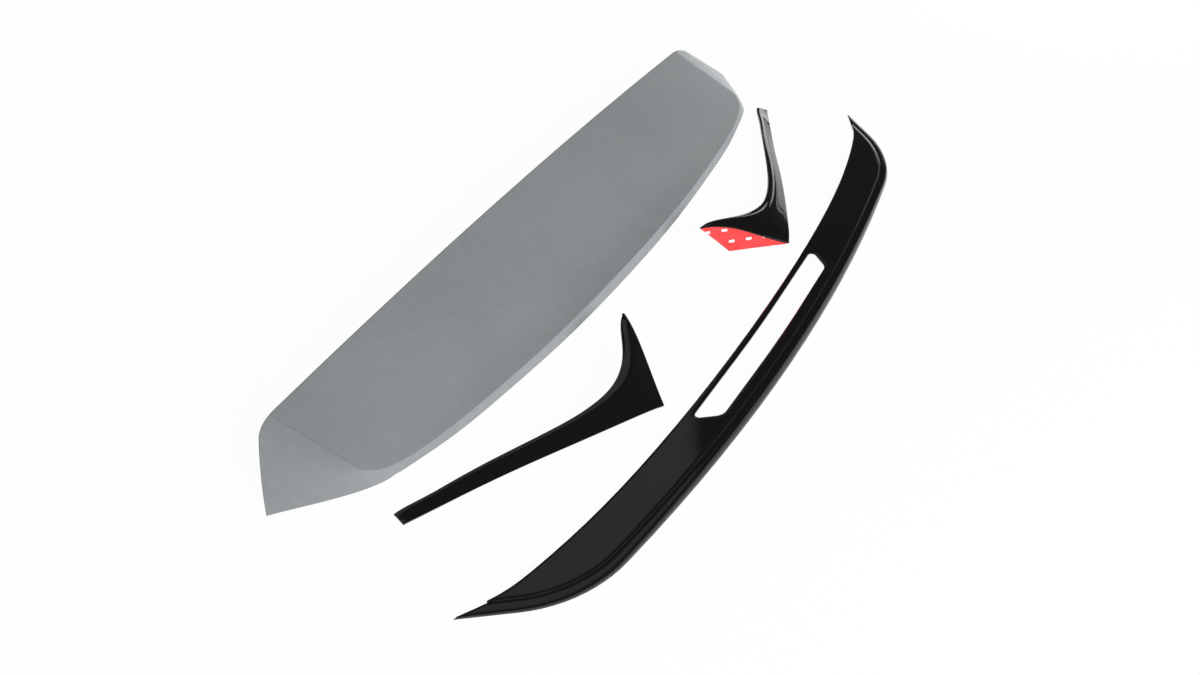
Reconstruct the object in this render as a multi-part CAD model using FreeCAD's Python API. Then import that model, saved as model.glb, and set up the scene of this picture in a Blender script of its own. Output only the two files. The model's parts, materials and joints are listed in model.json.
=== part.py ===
import FreeCAD
import Part
import math
import os

Vec = FreeCAD.Vector
UP = Vec(0, 0, 1)

# Common to every moulding; the reach is larger than any of them is deep
WALL = 3.0
REACH = 400.0
SPREAD_SHARE = 1.3

# Wing, seen with its leading edge along +Y and the trailing lip towards -Y
LEAD_HALF = 538.5
LEAD_BOW = 3.0
LEAD_CORNER_RADIUS = 40.0
EAR_OUT = 64.5
EAR_TIP_X = LEAD_HALF + EAR_OUT
EAR_TIP_BACK = 56.0
EAR_SWEEP_BULGE = 2.5
LEAD_HEIGHT = 83.0
PANEL_SLOPE = 0.31
TRAIL_SLOPE = 0.10
KICK_START = 140.0
CHORD = 204.0
CROWN = 11.0
RIM_MID_LIFT = 8.0
RIM_LIFT = 16.5
RIM_LIFT_SHARE = 0.796
SKIRT_TOP = 75.0

# Shoulder outside each groove; the fall is down to the ear's front corner
SHOULDER_WIDTH = 20.5
GROOVE_TOE_IN = 14.3
GROOVE_FRONT_X = LEAD_HALF - SHOULDER_WIDTH
GROOVE_REAR_X = GROOVE_FRONT_X - GROOVE_TOE_IN
GROOVE_RUN = 130.0
SHOULDER_FALL = 7.0
SHOULDER_ROUND_FRONT = 55.0
SHOULDER_ROUND_REAR = 14.0
GROOVE_HALF = 1.5
GROOVE_DEPTH = 1.3

# Half of the skirt, from past the ear tip to mid span. Rim x as a share of the ear tip's,
# rim back as a share of the chord, then the skirt's run in x and back for each unit it rises.
SKIRT = [
    (1.0697, 0.0784, -1.100, -0.850),
    (1.0000, 0.2745, -0.954, -0.800),
    (0.9483, 0.4585, -0.740, -0.755),
    (0.8935, 0.6350, -0.455, -0.786),
    (0.8373, 0.7755, 0.000, -0.920),
    (0.7892, 0.8392, 0.260, -0.800),
    (0.7530, 0.8485, 0.050, -0.520),
    (0.6633, 0.8961, 0.000, -0.430),
    (0.4975, 0.9451, 0.000, -0.280),
    (0.2819, 0.9909, 0.000, -0.190),
]
SKIRT_MID = (0.0, 1.0093, 0.000, -0.160)

# Blade, in its own axes: x along the span, y forward, outer edge through the origin
BLADE_HALF = 600.0
BLADE_SWEEP = 164.0
BLADE_EDGE_RADIUS = 2900.0
BLADE_TIP_SLOPE = 1.31
BLADE_CORNER_RADIUS = 190.0
BLADE_DEPTH = 71.7
BLADE_MID_HEIGHT = 14.5
BLADE_TIP_HEIGHT = 7.5
BLADE_BAND = 15.0
BLADE_STEP = 4.5
BLADE_LIP_LEAN = 0.55
SLOT_HALF = 202.0
SLOT_TAPER = 27.0
SLOT_FRONT = 62.2
SLOT_BACK = 28.4
SLOT_BOW = 5.0
SLOT_ROUND_FRONT = 6.0
SLOT_ROUND_BACK = 20.0

# Blade's inner edge, from mid span to tip, as shares of its half span and of its rise
BLADE_INNER = [(0.0, 0.0), (0.417, 0.092), (0.667, 0.276), (0.833, 0.498), (0.908, 0.653), (1.0, 1.0)]
BLADE_PAST_TIP = (1.05, 1.18)

# Fin, in its own axes: x along the arm with the corner at the origin, y to the tip
FIN_ARM = 376.0
FIN_HEAD = 140.0
FIN_HEIGHT = 51.5
FIN_BULGE = 9.5
FIN_TOE_OUT = 93.0
FIN_KNEE_LOW = (0.38, 0.62)
FIN_KNEE_HIGH = (0.78, 1.0)
FLANGE_SHARE = 0.5
TAPE_THICKNESS = 1.1
TAPE_SHARE = 0.6
TAPE_MARGIN = 1.5

# Sections of the fin from its thin end to the flange: low edge, top edge, bulge of the skin.
# Each edge is given as shares of the arm, the head and the height, the bulge as its share.
FIN_STATIONS = [
    ((-1.000, -0.040, 0.066), (-1.011, 0.089, 0.101), 0.09),
    ((-0.899, -0.035, 0.083), (-0.904, 0.094, 0.221), 0.17),
    ((-0.771, -0.029, 0.130), (-0.774, 0.102, 0.357), 0.26),
    ((-0.612, -0.027, 0.186), (-0.612, 0.112, 0.482), 0.33),
    ((-0.426, -0.036, 0.237), (-0.426, 0.128, 0.561), 0.38),
    ((-0.229, -0.030, 0.221), (-0.239, 0.193, 0.645), 0.51),
    ((-0.106, -0.019, 0.194), (-0.117, 0.339, 0.750), 0.72),
    ((-0.040, -0.009, 0.155), (-0.037, 0.593, 0.885), 0.95),
    ((0.000, 0.000, 0.107), (0.059, 1.000, 1.000), 1.00),
]

# Where the other mouldings lie beside the wing, behind its leading edge, and their turn
BLADE_X = 0.6
BLADE_BACK = 485.5
BLADE_TURN = 1.53
FIN_LEFT_X = -193.3
FIN_LEFT_BACK = 378.9
FIN_LEFT_TURN = -28.07
FIN_RIGHT_X = 208.4
FIN_RIGHT_BACK = 373.9
FIN_RIGHT_TURN = -148.33


def spline_edge(points):
    curve = Part.BSplineCurve()
    curve.interpolate(points)
    return curve.toShape()


def ring_spline(points, parameters):
    curve = Part.BSplineCurve()
    curve.interpolate(Points=points, Parameters=parameters)
    return curve.toShape()


def crowned_block(section, drop, half):
    """Turn a closed (y, z) section about a far axis so it falls by drop at half."""
    radius = half * half / (2.0 * drop)
    axis_at = Vec(0, 0, section[0][1] - radius)
    spread = math.degrees(SPREAD_SHARE * half / radius)
    points = [Vec(0, y, z) for y, z in section]
    face = Part.Face(Part.makePolygon(points + points[:1]))
    face.rotate(axis_at, Vec(0, 1, 0), -spread)
    return face.revolve(axis_at, Vec(0, 1, 0), 2.0 * spread)


def wing_top(inset):
    """Everything below the crowned top skin, moved down by the inset."""
    drop = inset * math.sqrt(1.0 + PANEL_SLOPE ** 2)
    run = CHORD - KICK_START
    kick_z = LEAD_HEIGHT - PANEL_SLOPE * KICK_START
    end_z = kick_z - (PANEL_SLOPE + TRAIL_SLOPE) * run / 2.0
    mid_z = kick_z - (3.0 * PANEL_SLOPE + TRAIL_SLOPE) * run / 8.0
    shift = Vec(0, 0, -drop)
    lead = Vec(0, REACH, LEAD_HEIGHT + PANEL_SLOPE * REACH) + shift
    kick = Vec(0, -KICK_START, kick_z) + shift
    bend = Vec(0, -KICK_START - run / 2.0, mid_z) + shift
    end = Vec(0, -CHORD, end_z) + shift
    past = Vec(0, -REACH, end_z - TRAIL_SLOPE * (REACH - CHORD)) + shift
    curl = Part.Arc(kick, bend, end).toShape()
    low_back = Vec(0, -REACH, -REACH)
    low_front = Vec(0, REACH, -REACH)
    edges = [
        Part.makeLine(lead, kick),
        curl,
        Part.makeLine(end, past),
        Part.makeLine(past, low_back),
        Part.makeLine(low_back, low_front),
        Part.makeLine(low_front, lead),
    ]
    radius = GROOVE_FRONT_X ** 2 / (2.0 * CROWN)
    axis_at = Vec(0, 0, LEAD_HEIGHT - radius)
    spread = math.degrees(SPREAD_SHARE * EAR_TIP_X / radius)
    face = Part.Face(Part.Wire(edges))
    face.rotate(axis_at, Vec(0, 1, 0), -spread)
    return face.revolve(axis_at, Vec(0, 1, 0), 2.0 * spread)


def skirt_stations():
    """Rim points on the floor plane and the skirt's lean at each, from right to left."""
    right = SKIRT + [SKIRT_MID]
    rim = [Vec(x * EAR_TIP_X, -back * CHORD, 0) for x, back, _, _ in right]
    lean = [Vec(dx, -dy, 1) for _, _, dx, dy in right]
    rim += [flip(p) for p in reversed(rim[:-1])]
    lean += [flip(p) for p in reversed(lean[:-1])]
    return rim, lean


def skirt_rails(inset, low, high):
    """Rim and upper rail of the skirt at two heights, set in by the inset."""
    rim, lean = skirt_stations()
    count = len(rim)
    lower = []
    upper = []
    for i in range(count):
        along = rim[min(i + 1, count - 1)] - rim[max(i - 1, 0)]
        inward = along.cross(lean[i])
        inward.normalize()
        if inward.y < 0:
            inward = inward * -1.0
        level = math.hypot(inward.x, inward.y)
        move = Vec(inward.x, inward.y, 0) * (inset / level ** 2)
        lower.append(rim[i] + move + lean[i] * low)
        upper.append(rim[i] + move + lean[i] * high)
    steps = [0.0]
    for i in range(1, count):
        steps.append(steps[-1] + rim[i].distanceToPoint(rim[i - 1]))
    return lower, upper, steps


def closed_wire(rail, steps):
    side = ring_spline(rail, steps)
    front = Part.makeLine(rail[-1], rail[0])
    return Part.Wire([side, front])


def wing_limit(inset):
    """The space inside the ears and the trailing lip."""
    lower, upper, steps = skirt_rails(inset, -WALL, SKIRT_TOP)
    low_wire = closed_wire(lower, steps)
    top_wire = closed_wire(upper, steps)
    skirt = Part.makeLoft([low_wire, top_wire], True, True)
    above = Part.Face(top_wire).extrude(UP * SKIRT_TOP)
    return skirt.fuse(above)


def wing_front():
    """Upright block behind the leading edge and the swept ear fronts."""
    nose = Vec(0, LEAD_BOW, -REACH)
    right = Vec(LEAD_HALF, 0, -REACH)
    tip = Vec(EAR_TIP_X, -EAR_TIP_BACK, -REACH)
    across = tip - right
    out = Vec(-across.y, across.x, 0)
    out.normalize()
    belly = (right + tip) * 0.5 + out * EAR_SWEEP_BULGE
    far = tip + across
    back = Vec(far.x, -REACH, -REACH)

    edges = [
        Part.Arc(flip(right), nose, right).toShape(),
        Part.Arc(right, belly, tip).toShape(),
        Part.makeLine(tip, far),
        Part.makeLine(far, back),
        Part.makeLine(back, flip(back)),
        Part.makeLine(flip(back), flip(far)),
        Part.makeLine(flip(far), flip(tip)),
        Part.Arc(flip(tip), flip(belly), flip(right)).toShape(),
    ]
    block = Part.Face(Part.Wire(edges)).extrude(UP * (2.0 * REACH))
    corners = [Vec(corner.x, corner.y, 0) for corner in (right, flip(right))]
    sharp = [edge for edge in block.Edges for at in corners if edge.CenterOfMass.isEqual(at, WALL)]
    return block.makeFillet(LEAD_CORNER_RADIUS, sharp)


def flip(p):
    return Vec(-p.x, p.y, p.z)


def skin_height(x, back):
    """Height of the top skin ahead of the kick."""
    return LEAD_HEIGHT - PANEL_SLOPE * back - CROWN * (x / GROOVE_FRONT_X) ** 2


def groove_ends():
    front = Vec(GROOVE_FRONT_X, 0, skin_height(GROOVE_FRONT_X, 0))
    rear = Vec(GROOVE_REAR_X, -GROOVE_RUN, skin_height(GROOVE_REAR_X, GROOVE_RUN))
    return front, rear


def shoulder_cut(inset):
    """Space above the shoulder plane that falls away outside the right groove."""
    front, rear = groove_ends()
    corner = Vec(LEAD_HALF, 0, front.z - SHOULDER_FALL)
    along = rear - front
    along.normalize()
    normal = (corner - front).cross(along)
    normal.normalize()
    if normal.z < 0:
        normal = normal * -1.0
    outward = along.cross(normal)
    if outward.x < 0:
        outward = outward * -1.0
    start = front - along * REACH - normal * inset
    side = outward * REACH
    run = along * (2.0 * REACH)
    points = [start, start + side, start + side + run, start + run]
    return Part.Face(Part.makePolygon(points + points[:1])).extrude(normal * REACH)


def both_hands(shape):
    return [shape, shape.mirror(Vec(0, 0, 0), Vec(1, 0, 0))]


def groove_cut():
    """Fine groove along the bend between panel and shoulder, running out at its rear."""
    front, rear = groove_ends()
    along = rear - front
    along.normalize()
    side = along.cross(UP)
    side.normalize()
    start = front - along * WALL
    rise = UP * GROOVE_DEPTH
    half = side * GROOVE_HALF
    corners = [start - half + rise, start + half + rise, start - rise]
    mouth = Part.makePolygon(corners + corners[:1])
    far = mouth.copy()
    far.translate(rear - start)
    far.translate(rise * 0.3)
    return Part.makeLoft([mouth, far], True, True)


def under_rim():
    """Space below the bottom edge, which lifts from mid span to each corner."""
    right = Vec(RIM_LIFT_SHARE * EAR_TIP_X, REACH, RIM_LIFT)
    tip = Vec(EAR_TIP_X, REACH, 0)
    far = Vec(2.0 * EAR_TIP_X, REACH, 0)
    deep = Vec(2.0 * EAR_TIP_X, REACH, -REACH)
    edges = [
        Part.Arc(flip(right), Vec(0, REACH, RIM_MID_LIFT), right).toShape(),
        Part.makeLine(right, tip),
        Part.makeLine(tip, far),
        Part.makeLine(far, deep),
        Part.makeLine(deep, flip(deep)),
        Part.makeLine(flip(deep), flip(far)),
        Part.makeLine(flip(far), flip(tip)),
        Part.makeLine(flip(tip), flip(right)),
    ]
    return Part.Face(Part.Wire(edges)).extrude(Vec(0, -2.0 * REACH, 0))


def wing_body(inset):
    body = wing_limit(inset).common(wing_top(inset))
    return body.cut(both_hands(shoulder_cut(inset)))


def bend_at(body, side):
    """The edge between shoulder and ear on one side of the body."""
    front, rear = groove_ends()
    middle = (front + rear) * 0.5
    aim = Part.Vertex(Vec(side * (LEAD_HALF + middle.x) / 2.0, middle.y, middle.z))
    long_edges = [edge for edge in body.Edges if GROOVE_RUN / 2.0 < edge.Length < LEAD_HALF]
    runs = [edge for edge in long_edges if edge.CenterOfMass.x * side > middle.x]
    return min(runs, key=lambda edge: edge.distToShape(aim)[0])


def round_shoulders(body):
    """Round each bend from shoulder to ear, wide at the front and narrow at the rear."""
    for side in (1, -1):
        bend = bend_at(body, side)
        radii = [SHOULDER_ROUND_REAR, SHOULDER_ROUND_FRONT]
        if bend.valueAt(bend.FirstParameter).y > bend.valueAt(bend.LastParameter).y:
            radii.reverse()
        body = body.makeFillet(radii[0], radii[1], [bend])
    return body


def wing_shell():
    outer = round_shoulders(wing_body(0.0).common(wing_front()).Solids[0])
    shell = outer.cut(wing_body(WALL))
    return shell.cut([under_rim()] + both_hands(groove_cut()))


def blade_rear_region(inset):
    """Plan area ahead of the blade's outer edge, set in by the inset."""
    tip = Vec(BLADE_HALF, BLADE_SWEEP, 0)
    inward = Vec(-BLADE_TIP_SLOPE, 1.0, 0)
    inward.normalize()
    start = tip + inward * inset
    along = Vec(-1.0, -BLADE_TIP_SLOPE, 0)
    along.normalize()
    ahead = start - along * REACH
    radius = BLADE_EDGE_RADIUS - inset
    centre = Vec(0, BLADE_EDGE_RADIUS, 0)
    turn = BLADE_CORNER_RADIUS - inset
    mid = start + inward * turn
    reach = radius - turn
    rel = mid - centre
    dot = rel.dot(along)
    run = -dot + math.sqrt(dot * dot - rel.dot(rel) + reach * reach)
    hub = mid + along * run
    on_line = hub - inward * turn
    spoke = hub - centre
    spoke.normalize()
    on_arc = hub + spoke * turn
    bisect = spoke - inward
    bisect.normalize()
    on_turn = hub + bisect * turn

    edges = [
        Part.makeLine(ahead, on_line),
        Part.Arc(on_line, on_turn, on_arc).toShape(),
        Part.Arc(on_arc, Vec(0, inset, 0), flip(on_arc)).toShape(),
        Part.Arc(flip(on_arc), flip(on_turn), flip(on_line)).toShape(),
        Part.makeLine(flip(on_line), flip(ahead)),
        Part.makeLine(flip(ahead), ahead),
    ]
    return Part.Face(Part.Wire(edges))


def blade_front_region():
    """Plan area behind the blade's inner edge."""
    rise = BLADE_SWEEP - BLADE_DEPTH
    shares = BLADE_INNER + [BLADE_PAST_TIP]
    right = [Vec(x * BLADE_HALF, BLADE_DEPTH + y * rise, 0) for x, y in shares]
    left = [flip(p) for p in reversed(right[1:])]
    low_right = Vec(right[-1].x, -REACH, 0)
    edges = [
        spline_edge(left + right),
        Part.makeLine(right[-1], low_right),
        Part.makeLine(low_right, flip(low_right)),
        Part.makeLine(flip(low_right), left[0]),
    ]
    return Part.Face(Part.Wire(edges))


def blade_slab(top_drop, bottom_drop):
    """Crowned layer between two depths below the panel's top skin."""
    high = BLADE_MID_HEIGHT - top_drop
    low = BLADE_MID_HEIGHT - bottom_drop
    section = [(-REACH, high), (REACH, high), (REACH, low), (-REACH, low)]
    return crowned_block(section, BLADE_MID_HEIGHT - BLADE_TIP_HEIGHT, BLADE_HALF)


def upright(face):
    return face.extrude(UP * (2.0 * BLADE_MID_HEIGHT))


def rounded_outline(corners):
    """Closed plan outline with a radius on each corner: (x, y, radius)."""
    count = len(corners)
    edges = []
    joins = []
    for i in range(count):
        here = Vec(corners[i][0], corners[i][1], 0)
        before = Vec(corners[i - 1][0], corners[i - 1][1], 0) - here
        after = Vec(corners[(i + 1) % count][0], corners[(i + 1) % count][1], 0) - here
        half = before.getAngle(after) / 2.0
        before.normalize()
        after.normalize()
        set_back = corners[i][2] / math.tan(half)
        middle = before + after
        middle.normalize()
        hub = here + middle * (corners[i][2] / math.sin(half))
        start = here + before * set_back
        end = here + after * set_back
        edges.append(Part.Arc(start, hub - middle * corners[i][2], end).toShape())
        joins.append((start, end))
    for i in range(count):
        edges.append(Part.makeLine(joins[i][1], joins[(i + 1) % count][0]))
    return Part.Face(Part.Wire(Part.__sortEdges__(edges)))


def blade_slot():
    back_half = SLOT_HALF - SLOT_TAPER
    corners = [
        (-SLOT_HALF, SLOT_FRONT + SLOT_BOW, SLOT_ROUND_FRONT),
        (-back_half, SLOT_BACK + SLOT_BOW, SLOT_ROUND_BACK),
        (0.0, SLOT_BACK, BLADE_EDGE_RADIUS),
        (back_half, SLOT_BACK + SLOT_BOW, SLOT_ROUND_BACK),
        (SLOT_HALF, SLOT_FRONT + SLOT_BOW, SLOT_ROUND_FRONT),
        (0.0, SLOT_FRONT, BLADE_EDGE_RADIUS),
    ]
    return upright(rounded_outline(corners))


def blade_limit(inset):
    """The space inside the blade's outer lip, which leans in as it rises."""
    rise = 2.0 * BLADE_MID_HEIGHT
    low = blade_rear_region(inset).OuterWire
    high = blade_rear_region(inset + BLADE_LIP_LEAN * rise).OuterWire
    high.translate(UP * rise)
    return Part.makeLoft([low, high], True, True)


def blade_shell():
    front = upright(blade_front_region())
    panel_plan = upright(blade_rear_region(BLADE_BAND))
    inside_band = upright(blade_rear_region(BLADE_BAND + WALL))
    whole = blade_limit(0.0).common(front)
    panel = panel_plan.common(front).common(blade_slab(0.0, WALL))
    riser = panel_plan.cut(inside_band).common(front).common(blade_slab(0.0, BLADE_STEP + WALL))
    band = whole.common(blade_slab(BLADE_STEP, BLADE_STEP + WALL)).cut(panel_plan)
    lip = whole.cut(blade_limit(WALL)).common(blade_slab(BLADE_STEP, BLADE_MID_HEIGHT + WALL))
    return panel.fuse([riser, band, lip]).cut(blade_slot()).removeSplitter()


def fin_point(shares):
    return Vec(shares[0] * FIN_ARM, shares[1] * FIN_HEAD, shares[2] * FIN_HEIGHT)


def fin_section(low_shares, high_shares, bulge_share):
    """Four points across the skin and the same four on its lining."""
    low = fin_point(low_shares)
    high = fin_point(high_shares)
    chord = high - low
    flat = Vec(chord.x, chord.y, 0)
    out = UP * flat.Length - flat * (chord.z / flat.Length)
    out.normalize()
    rise = out * (FIN_BULGE * bulge_share)
    knees = [low + chord * at + rise * share for at, share in (FIN_KNEE_LOW, FIN_KNEE_HIGH)]
    skin = [low] + knees + [high]
    return skin, [p - out * WALL for p in skin]


def fin_stations():
    return [fin_section(*station) for station in FIN_STATIONS]


def smooth_sheet(rows):
    sheet = Part.BSplineSurface()
    sheet.interpolate(rows)
    return sheet


def sheet_rims(sheet):
    u_low, u_high, v_low, v_high = sheet.bounds()
    rims = [sheet.uIso(u_low), sheet.uIso(u_high), sheet.vIso(v_low), sheet.vIso(v_high)]
    return [rim.toShape() for rim in rims]


def fin_skin():
    """Skin and lining as two smooth sheets joined round their four rims."""
    stations = fin_stations()
    skin = smooth_sheet([outer for outer, _ in stations])
    lining = smooth_sheet([inner for _, inner in stations])
    pairs = zip(sheet_rims(skin), sheet_rims(lining))
    faces = [skin.toShape(), lining.toShape()]
    faces += [Part.makeRuledSurface(outer, inner) for outer, inner in pairs]
    shell = Part.makeShell(faces)
    shell.sewShape()
    solid = Part.Solid(shell)
    if solid.Volume < 0:
        solid.reverse()
    return solid


def fin_end_face(share, lift):
    """Upright end of the fin; the share sets its top edge into the wall, the lift its toe."""
    skin, lining = fin_stations()[-1]
    top = [a + (b - a) * share for a, b in zip(skin, lining)]
    toe = Vec(skin[-1].x * FIN_TOE_OUT / skin[-1].y, FIN_TOE_OUT, lift)
    edges = [spline_edge(top), Part.makeLine(top[-1], toe), Part.makeLine(toe, top[0])]
    return Part.Face(Part.Wire(edges))


def fin_end_normal():
    tip = fin_point(FIN_STATIONS[-1][1])
    normal = Vec(tip.y, -tip.x, 0)
    normal.normalize()
    return normal


def fin_shell():
    flange = fin_end_face(FLANGE_SHARE, 0.0).extrude(fin_end_normal() * -WALL)
    return fin_skin().fuse(flange).removeSplitter()


def fin_tape():
    return fin_end_face(TAPE_SHARE, TAPE_MARGIN).extrude(fin_end_normal() * TAPE_THICKNESS)


def placed(shape, x, back, turn):
    moved = shape.copy()
    moved.rotate(Vec(0, 0, 0), UP, turn)
    moved.translate(Vec(x, -back, 0))
    return moved


def other_hand(shape):
    return shape.mirror(Vec(0, 0, 0), Vec(0, 1, 0))


def left_fin(shape):
    return placed(shape, FIN_LEFT_X, FIN_LEFT_BACK, FIN_LEFT_TURN)


def right_fin(shape):
    return placed(other_hand(shape), FIN_RIGHT_X, FIN_RIGHT_BACK, FIN_RIGHT_TURN)


def build():
    fin = fin_shell()
    tape = fin_tape()
    return {
        "wing_shell": wing_shell(),
        "blade_shell": placed(blade_shell(), BLADE_X, BLADE_BACK, BLADE_TURN),
        "fin_left": left_fin(fin),
        "fin_left_tape": left_fin(tape),
        "fin_right": right_fin(fin),
        "fin_right_tape": right_fin(tape),
    }


def export(nodes):
    """Write each node with the origin at the bottom centre of the whole set."""
    box = Part.makeCompound(list(nodes.values())).optimalBoundingBox(True, False)
    origin = Vec(box.Center.x, box.Center.y, box.ZMin)
    os.makedirs("parts", exist_ok=True)
    for name, shape in nodes.items():
        shape.translate(origin * -1.0)
        shape.exportStep("parts/" + name + ".step")


export(build())
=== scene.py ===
"""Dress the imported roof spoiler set: a primed wing, a gloss black blade and two side fins."""

from __future__ import annotations

import json
import logging
import math
from dataclasses import dataclass, field
from enum import Enum
from typing import Any, Union

import bmesh
import bpy
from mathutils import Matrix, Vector

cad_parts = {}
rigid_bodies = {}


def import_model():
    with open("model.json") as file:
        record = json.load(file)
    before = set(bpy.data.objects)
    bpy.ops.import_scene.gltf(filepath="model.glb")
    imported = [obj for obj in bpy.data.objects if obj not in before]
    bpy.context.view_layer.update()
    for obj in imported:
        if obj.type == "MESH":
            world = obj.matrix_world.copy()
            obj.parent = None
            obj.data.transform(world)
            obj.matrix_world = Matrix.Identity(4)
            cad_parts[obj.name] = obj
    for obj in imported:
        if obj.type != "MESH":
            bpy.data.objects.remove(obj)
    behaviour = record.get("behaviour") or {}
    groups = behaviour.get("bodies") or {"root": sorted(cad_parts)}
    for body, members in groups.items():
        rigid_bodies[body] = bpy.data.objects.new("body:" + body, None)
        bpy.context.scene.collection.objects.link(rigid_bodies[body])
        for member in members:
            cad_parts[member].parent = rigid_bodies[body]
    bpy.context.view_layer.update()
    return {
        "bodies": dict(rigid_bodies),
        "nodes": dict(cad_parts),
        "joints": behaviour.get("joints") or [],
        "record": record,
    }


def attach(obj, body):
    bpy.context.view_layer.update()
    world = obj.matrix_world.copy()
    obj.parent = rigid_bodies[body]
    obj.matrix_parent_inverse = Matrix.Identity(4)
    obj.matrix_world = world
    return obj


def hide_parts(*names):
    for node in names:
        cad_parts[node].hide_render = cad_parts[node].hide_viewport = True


LOG = logging.getLogger("roof_spoiler")
BODY = "root"
FIN_EDGE = 0.0012

Number = Union[int, float]
Colour = tuple[float, float, float, float]
Point = tuple[float, float, float]


class Slot(Enum):
    """The record's material slots."""

    PRIMER = "grey_primer"
    BLACK = "gloss_black"
    LINER = "tape_liner"


class Hand(Enum):
    """Which side of the car a fin goes on."""

    LEFT = "left"
    RIGHT = "right"


class Wire:
    """A shader socket that takes part in Python arithmetic."""

    def __init__(self, bench: Bench, socket: bpy.types.NodeSocket) -> None:
        """Keep the socket and the bench that its nodes are made on."""
        self.bench = bench
        self.socket = socket

    def _math(self, operation: str, first: Value, second: Value) -> Wire:
        """Add one Math node.

        Args:
            operation: the Math node's operation.
            first: its first value.
            second: its second value.

        Returns:
            The node's output.
        """
        node = self.bench.node("ShaderNodeMath", {"operation": operation}, {0: first, 1: second})
        return self.bench.out(node)

    def __add__(self, other: Value) -> Wire:
        """Return self + other."""
        return self._math("ADD", self, other)

    def __radd__(self, other: Value) -> Wire:
        """Return other + self."""
        return self._math("ADD", other, self)

    def __sub__(self, other: Value) -> Wire:
        """Return self - other."""
        return self._math("SUBTRACT", self, other)

    def __rsub__(self, other: Value) -> Wire:
        """Return other - self."""
        return self._math("SUBTRACT", other, self)

    def __mul__(self, other: Value) -> Wire:
        """Return self * other."""
        return self._math("MULTIPLY", self, other)

    def __rmul__(self, other: Value) -> Wire:
        """Return other * self."""
        return self._math("MULTIPLY", other, self)

    def __truediv__(self, other: Value) -> Wire:
        """Return self / other."""
        return self._math("DIVIDE", self, other)

    def __rtruediv__(self, other: Value) -> Wire:
        """Return other / self."""
        return self._math("DIVIDE", other, self)

    def __lt__(self, other: Value) -> Wire:
        """Return 1 where self is below other, else 0."""
        return self._math("LESS_THAN", self, other)

    def __gt__(self, other: Value) -> Wire:
        """Return 1 where self is above other, else 0."""
        return self._math("GREATER_THAN", self, other)

    def __abs__(self) -> Wire:
        """Return the size of self without its sign."""
        return self._math("ABSOLUTE", self, 0.0)

    def larger(self, other: Value) -> Wire:
        """Return the larger of self and other."""
        return self._math("MAXIMUM", self, other)

    def floor(self) -> Wire:
        """Return self rounded down."""
        return self._math("FLOOR", self, 0.0)

    def fraction(self) -> Wire:
        """Return what is left of self after rounding down."""
        return self._math("FRACT", self, 0.0)


Value = Union[Wire, Number, Colour, Point]


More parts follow.
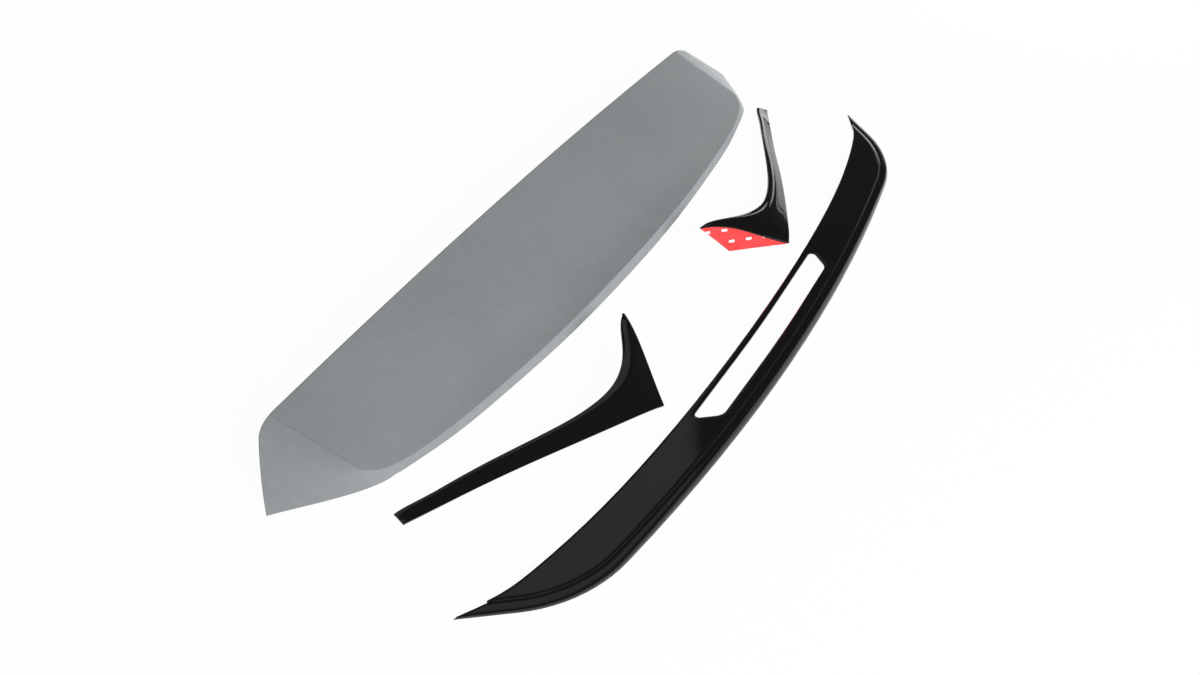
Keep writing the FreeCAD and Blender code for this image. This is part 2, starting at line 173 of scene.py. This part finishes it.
class Bench:
    """The node tree of one material or world."""

    def __init__(self, tree: bpy.types.NodeTree) -> None:
        """Start from an empty tree.

        Args:
            tree: the node tree to build in.
        """
        self.tree = tree
        tree.nodes.clear()

    def node(self, kind: str, settings: dict[str, Any] | None = None,
             inputs: dict[Any, Value] | None = None) -> bpy.types.Node:
        """Add a node of any type.

        Args:
            kind: the node's type, such as ShaderNodeBump.
            settings: properties to set first; a ramp's stops are under "stops".
            inputs: values or links of its sockets, by name or number.

        Returns:
            The new node.
        """
        made = self.tree.nodes.new(kind)
        for name, value in (settings or {}).items():
            if name == "stops":
                self._fill_ramp(made.color_ramp, value)
            else:
                setattr(made, name, value)
        for key, value in (inputs or {}).items():
            if isinstance(value, Wire):
                self.tree.links.new(value.socket, made.inputs[key])
            else:
                made.inputs[key].default_value = value
        return made

    @staticmethod
    def _fill_ramp(ramp: bpy.types.ColorRamp, stops: list[tuple[float, Colour]]) -> None:
        """Set a ramp's stops.

        Args:
            ramp: the ramp to fill.
            stops: place and colour of each stop, in order.
        """
        while len(ramp.elements) < len(stops):
            ramp.elements.new(1.0)
        for element, (place, colour) in zip(ramp.elements, stops):
            element.position = place
            element.color = colour

    def out(self, node: bpy.types.Node, key: Any = 0) -> Wire:
        """Return one of a node's outputs."""
        return Wire(self, node.outputs[key])

    def place(self) -> Wire:
        """Return the place on the object, in metres."""
        return self.out(self.node("ShaderNodeTexCoord"), "Object")

    def noise(self, scale: float, detail: float = 2.0, stretch: Point = (1.0, 1.0, 1.0)) -> Wire:
        """Return smooth noise between 0 and 1.

        Args:
            scale: features per metre.
            detail: octaves.
            stretch: scale along each axis.

        Returns:
            The noise value.
        """
        mapped = self.node("ShaderNodeMapping", inputs={"Vector": self.place(), "Scale": stretch})
        made = self.node("ShaderNodeTexNoise", inputs={
            "Vector": self.out(mapped), "Scale": scale, "Detail": detail})
        return self.out(made, 0)

    def specks(self, scale: float, size: float, share: float) -> Wire:
        """Return a mask of sparse round specks.

        Args:
            scale: cells per metre.
            size: a speck's radius as a share of its cell.
            share: the share of cells that hold a speck.

        Returns:
            1 on a speck, else 0.
        """
        made = self.node("ShaderNodeTexVoronoi", inputs={"Vector": self.place(), "Scale": scale})
        parts = self.node("ShaderNodeSeparateColor", inputs={"Color": self.out(made, "Color")})
        return (self.out(made, "Distance") < size) * (self.out(parts, 0) < share)

    def ramp(self, value: Wire, low: float, high: float) -> Wire:
        """Return value spread smoothly from 0 at low to 1 at high."""
        made = self.node("ShaderNodeMapRange", {"interpolation_type": "SMOOTHSTEP"}, {
            "Value": value, "From Min": low, "From Max": high})
        return self.out(made)

    def blend(self, share: Value, first: Value, second: Value) -> Wire:
        """Mix two colours.

        Args:
            share: how much of the second colour.
            first: a colour.
            second: another colour.

        Returns:
            The mixed colour.
        """
        made = self.node("ShaderNodeMix", {"data_type": "RGBA"}, {0: share, 6: first, 7: second})
        return self.out(made, 2)

    def reach(self, vector: Wire, direction: Point) -> Wire:
        """Return how far a vector reaches along a direction."""
        made = self.node("ShaderNodeVectorMath", {"operation": "DOT_PRODUCT"}, {0: vector, 1: direction})
        return self.out(made, "Value")

    def along(self, direction: Point) -> Wire:
        """Return the distance of the place on the object along a direction."""
        return self.reach(self.place(), direction)

    def facing(self, direction: Point) -> Wire:
        """Return how far the surface faces a direction."""
        return self.reach(self.out(self.node("ShaderNodeNewGeometry"), "Normal"), direction)

    def eased(self, radius: float) -> Wire:
        """Return the normal with sharp edges eased over a radius in metres."""
        return self.out(self.node("ShaderNodeBevel", {"samples": 12}, {"Radius": radius}))

    def bump(self, height: Wire, depth: float, strength: float = 1.0, ease: float = 0.0008) -> Wire:
        """Raise the surface's normal.

        Args:
            height: the relief, from 0 to 1.
            depth: what a height of 1 is in metres.
            strength: how much of the relief shows.
            ease: the radius on sharp edges, in metres.

        Returns:
            The raised normal.
        """
        made = self.node("ShaderNodeBump", inputs={
            "Height": height, "Distance": depth, "Strength": strength, "Normal": self.eased(ease)})
        return self.out(made)

    def surface(self, **inputs: Value) -> None:
        """Finish the tree with a Principled shader.

        Args:
            inputs: its sockets, with _ for each space in a name.
        """
        named = {key.replace("_", " "): value for key, value in inputs.items()}
        shader = self.node("ShaderNodeBsdfPrincipled", inputs=named)
        self.node("ShaderNodeOutputMaterial", inputs={"Surface": self.out(shader)})


def new_bench(name: str) -> tuple[bpy.types.Material, Bench]:
    """Make an empty node material.

    Args:
        name: the material's name.

    Returns:
        The material and the bench that builds it.
    """
    material = bpy.data.materials.new(name)
    material.use_nodes = True
    return material, Bench(material.node_tree)


@dataclass(frozen=True)
class PrimerFinish:
    """Sprayed grey primer: satin, slightly mottled, with a fine grain.

    Args:
        light: the primer's lighter tone.
        dark: its darker tone.
        nib: the colour of dust caught in the spray.
        roughness: how satin it is.
        cloud_scale: slow changes of tone per metre.
        spray_scale: spray marks per metre.
        grain_scale: grains per metre.
        peel_scale: dimples per metre.
        nib_scale: cells per metre that may hold a nib.
        peel_depth: depth of the dimples, in metres.
        edge: the radius on the moulding's edges, in metres.
    """

    light: Colour = (0.275, 0.293, 0.300, 1.0)
    dark: Colour = (0.245, 0.262, 0.269, 1.0)
    nib: Colour = (0.33, 0.345, 0.35, 1.0)
    roughness: float = 0.46
    cloud_scale: float = 5.0
    spray_scale: float = 90.0
    grain_scale: float = 1400.0
    peel_scale: float = 420.0
    nib_scale: float = 55.0
    peel_depth: float = 0.00004
    edge: float = 0.0022

    def make(self) -> bpy.types.Material:
        """Return the finished material."""
        material, bench = new_bench(Slot.PRIMER.value)
        cloud = bench.noise(self.cloud_scale, 3.0)
        spray = bench.noise(self.spray_scale, 4.0)
        grain = bench.noise(self.grain_scale, 2.0)
        peel = bench.noise(self.peel_scale, 1.0)
        tone = cloud * 0.55 + spray * 0.3 + grain * 0.15
        colour = bench.blend(bench.ramp(tone, 0.35, 0.65), self.dark, self.light)
        nibs = bench.specks(self.nib_scale, 0.045, 0.10)
        colour = bench.blend(nibs * 0.6, colour, self.nib)
        roughness = self.roughness + (spray - 0.5) * 0.12 + nibs * 0.1
        bench.surface(
            Base_Color=colour,
            Roughness=roughness,
            Normal=bench.bump(peel * 0.7 + grain * 0.3 + nibs, self.peel_depth, 0.6, self.edge),
        )
        return material


@dataclass(frozen=True)
class PianoBlackFinish:
    """Moulded piano black plastic: deep gloss, faint smears and a little dust.

    Args:
        edge: the radius on the moulding's edges, in metres.
        colour: the plastic's colour.
        dust: the colour of a speck of dust.
        polished: roughness where the plastic is clean.
        smeared: roughness where it was touched.
        smear_scale: smears per metre.
        swirl_scale: polishing marks per metre.
        dust_scale: cells per metre that may hold a speck.
        wave_scale: slow waves of the moulding per metre.
        wave_depth: depth of the waves, in metres.
    """

    edge: float
    colour: Colour = (0.0034, 0.0034, 0.0032, 1.0)
    dust: Colour = (0.10, 0.10, 0.095, 1.0)
    polished: float = 0.035
    smeared: float = 0.085
    smear_scale: float = 9.0
    swirl_scale: float = 700.0
    dust_scale: float = 38.0
    wave_scale: float = 26.0
    wave_depth: float = 0.00006

    def make(self) -> bpy.types.Material:
        """Return the finished material."""
        material, bench = new_bench(Slot.BLACK.value)
        smear = bench.ramp(bench.noise(self.smear_scale, 4.0, (1.0, 2.5, 1.0)), 0.45, 0.75)
        swirl = bench.noise(self.swirl_scale, 3.0, (1.0, 0.12, 1.0))
        dust = bench.specks(self.dust_scale, 0.035, 0.12)
        wave = bench.noise(self.wave_scale, 1.0)
        colour = bench.blend(dust, self.colour, self.dust)
        roughness = self.polished + smear * (self.smeared - self.polished) + swirl * 0.012 + dust * 0.4
        bench.surface(
            Base_Color=colour,
            Roughness=roughness,
            IOR=1.5,
            Normal=bench.bump(wave + dust * 0.2, self.wave_depth, 0.25, self.edge),
        )
        return material


@dataclass(frozen=True)
class LinerFinish:
    """Red film liner with plain white dashes, over dark adhesive foam.

    Args:
        hand: the fin it is on.
        outward: the tape's outward direction.
        pitch: spacing of the dashes in a row, in metres.
        row: spacing of the rows, as a share of the pitch.
        tilt: how far the rows climb along the liner.
        slant: how far a dash leans.
        half_width: half of a dash's length, as a share of the pitch.
        half_height: half of its height, as a share of the row's spacing.
        origin: whole dashes and rows added so that every count is above 0.
        red: the film's usual colour.
        crinkle_shade_red: the darker red painted into the dips of the crinkles, as painted shade.
        white: the dashes' colour.
        foam: the colour of the adhesive foam.
    """

    hand: Hand
    outward: Point
    pitch: float = 0.0262
    row: float = 0.88
    tilt: float = 0.06
    slant: float = 0.15
    half_width: float = 0.17
    half_height: float = 0.11
    origin: float = 10.0
    red: Colour = (0.90, 0.055, 0.055, 1.0)
    crinkle_shade_red: Colour = (0.72, 0.035, 0.038, 1.0)
    white: Colour = (0.86, 0.80, 0.80, 1.0)
    foam: Colour = (0.05, 0.05, 0.052, 1.0)

    def _dashes(self, bench: Bench) -> Wire:
        """Return 1 on the dashes, in rows that are shifted by half a pitch."""
        sideways = (-self.outward[1], self.outward[0], 0.0)
        side = bench.along(sideways)
        up = (bench.along((0.0, 0.0, 1.0)) - side * self.tilt) / (self.pitch * self.row) + self.origin
        shift = (up.floor() * 0.5).fraction()
        across = (side / self.pitch + shift + self.origin).fraction() - 0.5
        height = up.fraction() - 0.5
        return (abs(across + height * self.slant) < self.half_width) * (abs(height) < self.half_height)

    def make(self) -> bpy.types.Material:
        """Return the finished material."""
        material, bench = new_bench(f"{Slot.LINER.value}_{self.hand.value}")
        crinkle = bench.noise(60.0, 3.0)
        fine = bench.noise(900.0, 2.0)
        # Painted shade: the film turns a darker red where the crinkles dip.
        film = bench.blend(bench.ramp(crinkle, 0.3, 0.7), self.crinkle_shade_red, self.red)
        printed = bench.blend(self._dashes(bench), film, self.white)
        colour = bench.blend(bench.facing(self.outward) > 0.6, self.foam, printed)
        bench.surface(
            Base_Color=colour,
            Roughness=0.32 + crinkle * 0.15,
            Normal=bench.bump(crinkle * 0.8 + fine * 0.2, 0.0002, 0.4),
        )
        return material


@dataclass
class Moulding:
    """One CAD node that keeps its shape and gets a finish.

    Args:
        node: the CAD node's name.
    """

    node: str
    frame: dict[str, Any]

    def dress(self, material: bpy.types.Material) -> bpy.types.Object:
        """Give the node a material.

        Args:
            material: the finish.

        Returns:
            The node's object.
        """
        piece = self.frame["nodes"][self.node]
        piece.data.materials.clear()
        piece.data.materials.append(material)
        LOG.info("%s wears %s", self.node, material.name)
        return piece


@dataclass
class Wing:
    """The primed wing, whose ears flow into their shoulders with no bend.

    Args:
        groove_front: front end of a groove in plan, in metres.
        groove_rear: its rear end.
        groove_clear: how far outside the groove's middle an ear starts, in metres.
        least_up: how far an ear's face points up at least.
        most_forward: how far it points forward at most.
        step: the longest edge on an ear, in metres.
        rounds: how often the edges are halved at most.
        passes: how often an ear is eased.
        pull: the share of a bend that one pass takes out.
        weld: points nearer than this are one, in metres.
        crease: edges that bend more than this stay sharp.
    """

    frame: dict[str, Any]
    groove_front: tuple[float, float] = (0.5180, 0.2418)
    groove_rear: tuple[float, float] = (0.5037, 0.1118)
    groove_clear: float = 0.0018
    least_up: float = 0.05
    most_forward: float = 0.8
    step: float = 0.006
    rounds: int = 14
    passes: int = 24
    pull: float = 0.5
    weld: float = 2e-6
    crease: float = math.radians(25.0)

    def _outside(self, point: Vector) -> float:
        """Return how far a point lies outside the nearer groove, in plan."""
        along = Vector(self.groove_rear) - Vector(self.groove_front)
        along.normalize()
        return (along.x * (point.y - self.groove_front[1])
                - along.y * (abs(point.x) - self.groove_front[0]))

    def _ears(self, mesh: bmesh.types.BMesh) -> set[bmesh.types.BMFace]:
        """Return the faces on the outside of both ears."""
        return {
            face for face in mesh.faces
            if face.normal.z > self.least_up and face.normal.y < self.most_forward
            and self._outside(face.calc_center_median()) > self.groove_clear
        }

    @staticmethod
    def _halve(edge: bmesh.types.BMEdge) -> None:
        """Split an edge in its middle, and the triangles on both of its sides."""
        sides = [(face, next(vert for vert in face.verts if vert not in edge.verts))
                 for face in edge.link_faces]
        _, middle = bmesh.utils.edge_split(edge, edge.verts[0], 0.5)
        for face, corner in sides:
            bmesh.utils.face_split(face, middle, corner)

    def _divide(self, mesh: bmesh.types.BMesh) -> None:
        """Divide the ears, longest edges first, until no edge is longer than the step."""
        bmesh.ops.triangulate(mesh, faces=[face for face in mesh.faces if len(face.verts) > 3])
        for _ in range(self.rounds):
            mesh.normal_update()
            ears = self._ears(mesh)
            edges = [edge for edge in mesh.edges if edge.calc_length() > self.step
                     and any(face in ears for face in edge.link_faces)]
            if not edges:
                break
            for edge in sorted(edges, key=lambda each: -each.calc_length()):
                self._halve(edge)

    @staticmethod
    def _sink(vert: bmesh.types.BMVert) -> float:
        """Return how far the middle of a point's neighbours lies along its normal."""
        total = sum((edge.other_vert(vert).co for edge in vert.link_edges), Vector())
        return (total / len(vert.link_edges) - vert.co).dot(vert.normal)

    def _ease(self, mesh: bmesh.types.BMesh) -> None:
        """Even out the bends inside each ear and leave its edges where they are."""
        ears = self._ears(mesh)
        free = [vert for vert in mesh.verts
                if not vert.is_boundary and all(face in ears for face in vert.link_faces)]
        for _ in range(self.passes):
            mesh.normal_update()
            sinks = [self._sink(vert) for vert in free]
            for vert, sink in zip(free, sinks):
                vert.co += vert.normal * (sink * self.pull)
        LOG.info("eased %d points of the ears", len(free))

    def dress(self, material: bpy.types.Material) -> bpy.types.Object:
        """Make the wing's visible skin.

        Args:
            material: the finish.

        Returns:
            The piece that stands for the CAD node.
        """
        mesh = bmesh.new()
        mesh.from_mesh(self.frame["nodes"]["wing_shell"].data)
        bmesh.ops.remove_doubles(mesh, verts=mesh.verts, dist=self.weld)
        self._divide(mesh)
        self._ease(mesh)
        for face in mesh.faces:
            face.smooth = True
        for edge in mesh.edges:
            edge.smooth = edge.calc_face_angle(0.0) < self.crease
        data = bpy.data.meshes.new("wing_skin")
        mesh.to_mesh(data)
        mesh.free()
        data.materials.append(material)
        piece = bpy.data.objects.new("wing_skin", data)
        bpy.context.scene.collection.objects.link(piece)
        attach(piece, BODY)
        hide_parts("wing_shell")
        LOG.info("%s wears %s", piece.name, material.name)
        return piece


@dataclass
class Blade:
    """The swept blade, whose outer edge is rolled over.

    Args:
        rolled_edge: the radius on its edges, in metres.
    """

    frame: dict[str, Any]
    rolled_edge: float = 0.006

    def dress(self) -> None:
        """Finish the blade."""
        Moulding("blade_shell", self.frame).dress(PianoBlackFinish(self.rolled_edge).make())


@dataclass
class Fin:
    """A side fin and the tape on its end flange.

    Args:
        hand: which of the two fins it is.
        outward: the tape's outward direction.
    """

    hand: Hand
    outward: Point
    frame: dict[str, Any]

    def dress(self, black: bpy.types.Material) -> None:
        """Finish the fin and its tape.

        Args:
            black: the finish of the fin.
        """
        Moulding(f"fin_{self.hand.value}", self.frame).dress(black)
        liner = LinerFinish(self.hand, self.outward).make()
        Moulding(f"fin_{self.hand.value}_tape", self.frame).dress(liner)


@dataclass(frozen=True)
class Viewpoint:
    """Where the photograph was taken from.

    Args:
        place: the lens, in metres.
        heading: the way it looks in plan, clockwise from +Y.
        pitch: how far it looks down.
        lens: focal length in millimetres.
        sensor: the sensor's width in millimetres.
        near: the nearest distance seen, in metres.
        far: the farthest.
    """

    place: Point = (-1.17352, -0.63893, 1.152)
    heading: float = math.radians(58.5)
    pitch: float = math.radians(43.0)
    lens: float = 36.0
    sensor: float = 36.0
    near: float = 0.01
    far: float = 200.0

    def make(self) -> bpy.types.Object:
        """Return the scene's camera."""
        data = bpy.data.cameras.new("photo_camera")
        data.lens = self.lens
        data.sensor_width = self.sensor
        data.clip_start = self.near
        data.clip_end = self.far
        camera = bpy.data.objects.new("photo_camera", data)
        bpy.context.scene.collection.objects.link(camera)
        camera.location = self.place
        level = math.cos(self.pitch)
        forward = Vector((
            math.sin(self.heading) * level,
            math.cos(self.heading) * level,
            -math.sin(self.pitch),
        ))
        camera.rotation_mode = "QUATERNION"
        camera.rotation_quaternion = forward.to_track_quat("-Z", "Y")
        bpy.context.scene.camera = camera
        return camera


@dataclass(frozen=True)
class Softbox:
    """One rectangular studio lamp.

    Args:
        name: the lamp's name.
        place: where it hangs, in metres.
        aim: what it points at.
        size: width and height.
        radiance: how bright its face is, where 1 is white.
        mirrored: whether gloss shows its reflection.
    """

    name: str
    place: Point
    aim: Point
    size: tuple[float, float]
    radiance: float
    mirrored: bool = True

    def make(self) -> bpy.types.Object:
        """Return the lamp."""
        data = bpy.data.lights.new(self.name, "AREA")
        data.shape = "RECTANGLE"
        data.size, data.size_y = self.size
        data.energy = self.radiance * math.pi * self.size[0] * self.size[1]
        lamp = bpy.data.objects.new(self.name, data)
        bpy.context.scene.collection.objects.link(lamp)
        lamp.location = self.place
        lamp.visible_camera = False
        lamp.visible_glossy = self.mirrored
        aim = Vector(self.aim) - Vector(self.place)
        lamp.rotation_mode = "QUATERNION"
        lamp.rotation_quaternion = aim.to_track_quat("-Z", "Y")
        return lamp


@dataclass(frozen=True)
class Studio:
    """Pale floor, soft lamps and a dim room with one grey card.

    Args:
        floor_half: half of the floor's width, in metres.
        floor_colour: the floor under the lamps.
        floor_white: how much of the floor looks plain white.
        lamps: the softboxes.
        room: height and level of the walls' light.
        card_ahead: the direction straight over the card.
        card_side: the direction along its lower edge.
        card_level: how bright the card is.
        card_start: where the card fades in along card_ahead.
        card_end: where it stops along card_side.
        card_foot: the height at which it starts.
    """

    floor_half: float = 40.0
    floor_colour: Colour = (0.88, 0.88, 0.88, 1.0)
    floor_white: float = 0.97
    lamps: tuple[Softbox, ...] = field(default=(
        Softbox("key", (-0.55, -2.35, 1.35), (0.0, 0.0, 0.0), (1.6, 1.2), 14.5, False),
        Softbox("fill", (-2.2, -0.35, 0.45), (-0.5, 0.1, 0.0), (1.0, 0.6), 7.2, False),
        Softbox("side", (2.27, 0.26, 0.45), (0.39, 0.0, 0.02), (0.8, 0.8), 2.6),
        Softbox("rim", (1.75, -0.10, 0.11), (0.56, 0.17, 0.05), (0.6, 0.2), 52.0, False),
    ))
    room: tuple[tuple[float, float], ...] = ((0.0, 0.08), (1.0, 0.09))
    card_ahead: Point = (0.853, 0.522, 0.0)
    card_side: Point = (0.522, -0.853, 0.0)
    card_level: float = 0.40
    card_start: tuple[float, float] = (0.15, 0.30)
    card_end: tuple[float, float] = (0.076, 0.068)
    card_foot: tuple[float, float] = (0.60, 0.64)

    def make(self) -> None:
        """Build the floor, the lamps and the world."""
        self._floor()
        self._world()
        for lamp in self.lamps:
            lamp.make()

    def _floor(self) -> None:
        """Lay a large pale floor that looks white and still takes a shadow."""
        half = self.floor_half
        mesh = bpy.data.meshes.new("floor")
        corners = [(-half, -half, 0.0), (half, -half, 0.0), (half, half, 0.0), (-half, half, 0.0)]
        mesh.from_pydata(corners, [], [(0, 1, 2, 3)])
        floor = bpy.data.objects.new("floor", mesh)
        bpy.context.scene.collection.objects.link(floor)
        material, bench = new_bench("floor")
        rays = bench.node("ShaderNodeLightPath")
        seen = bench.out(rays, "Is Camera Ray").larger(bench.out(rays, "Is Glossy Ray"))
        seen = seen.larger(bench.out(rays, "Is Transmission Ray"))
        matt = bench.node("ShaderNodeBsdfDiffuse", inputs={"Color": self.floor_colour})
        white = bench.node("ShaderNodeEmission", inputs={"Strength": 1.0})
        both = bench.node("ShaderNodeMixShader", inputs={
            0: seen * self.floor_white, 1: bench.out(matt), 2: bench.out(white)})
        bench.node("ShaderNodeOutputMaterial", inputs={"Surface": bench.out(both)})
        mesh.materials.append(material)

    def _world(self) -> None:
        """Light the room: dim walls, and a grey card high on the far left."""
        world = bpy.data.worlds.new("room")
        bpy.context.scene.world = world
        world.use_nodes = True
        bench = Bench(world.node_tree)
        direction = bench.out(bench.node("ShaderNodeTexCoord"), "Generated")
        height = bench.out(bench.node("ShaderNodeSeparateXYZ", inputs={0: direction}), "Z")
        stops = [(place, (level, level, level, 1.0)) for place, level in self.room]
        walls = bench.out(bench.node("ShaderNodeValToRGB", {"stops": stops}, {0: height}))
        ahead = bench.ramp(bench.reach(direction, self.card_ahead), *self.card_start)
        beside = bench.ramp(bench.reach(direction, self.card_side), *self.card_end)
        card = bench.ramp(height, *self.card_foot) * ahead * beside
        sky = bench.node("ShaderNodeBackground", inputs={"Color": walls + card * self.card_level})
        bench.node("ShaderNodeOutputWorld", inputs={"Surface": bench.out(sky)})


def mount_axis(record: dict[str, Any], name: str) -> Point:
    """Return the axis of one of the record's mounts."""
    return next(tuple(mount["axis"]) for mount in record["mounts"] if mount["name"] == name)


def main() -> None:
    """Dress every piece, light the room and set the camera."""
    logging.basicConfig(level=logging.INFO, format="%(name)s: %(message)s")
    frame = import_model()
    black = PianoBlackFinish(FIN_EDGE).make()
    Wing(frame).dress(PrimerFinish().make())
    Blade(frame).dress()
    for hand in Hand:
        outward = mount_axis(frame["record"], f"{hand.value}_fin_tape_face")
        Fin(hand, outward, frame).dress(black)
    Studio().make()
    Viewpoint().make()
    bpy.context.scene.view_settings.view_transform = "Standard"


if __name__ == "__main__":
    main()
